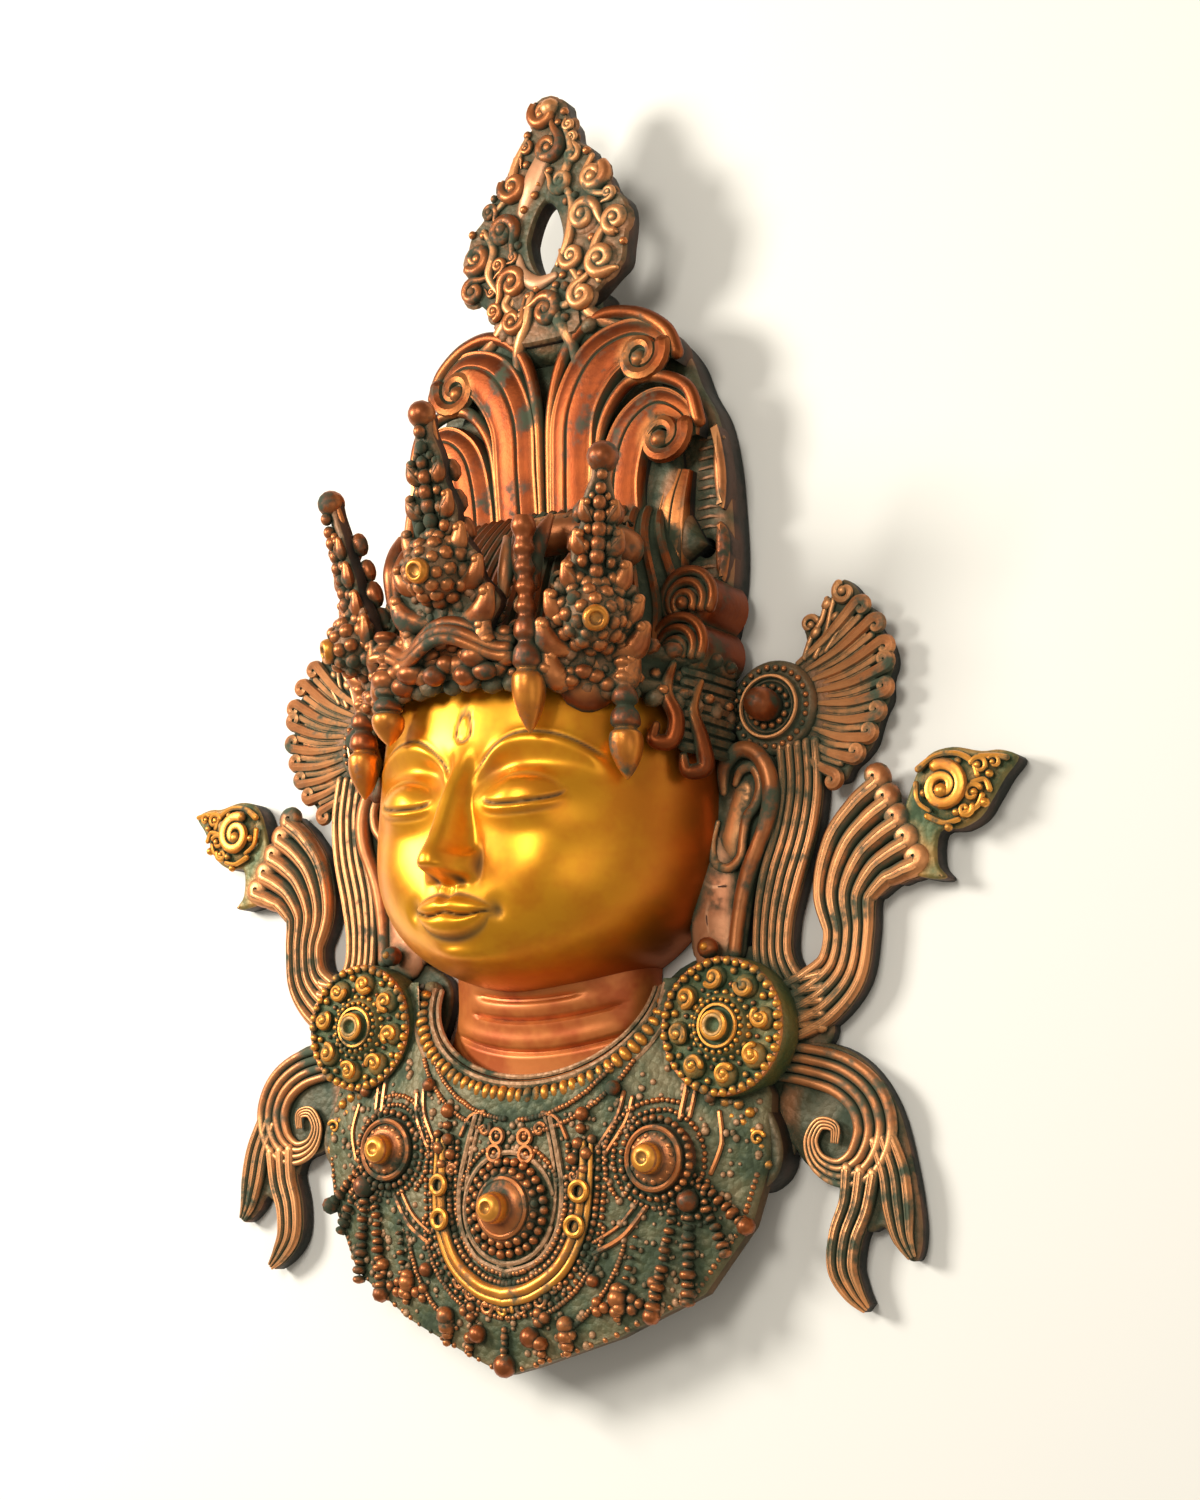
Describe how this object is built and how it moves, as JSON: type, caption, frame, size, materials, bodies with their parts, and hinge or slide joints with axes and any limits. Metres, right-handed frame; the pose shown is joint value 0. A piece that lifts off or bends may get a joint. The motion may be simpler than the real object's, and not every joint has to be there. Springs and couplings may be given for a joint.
{
  "type": "brass wall mask",
  "caption": "Hollow cast brass wall mask: a calm face with a tall fluted knot of hair, leafed crown, pierced finial, side ribbons, ear discs and a jewelled bib.",
  "frame": {"origin": "middle of the flat back, on the surface that the mask lies on, halfway up its height", "axes": "+Z out of the face, +Y towards the finial, +X to the right of someone who looks at the face"},
  "size_m": [0.428, 0.56, 0.1237],
  "materials": {
    "brass": "satin, gold and copper coloured crowns with a green and black patina in the hollows"
  },
  "bodies": {
    "root": {"mask": "brass"}
  },
  "joints": []
}
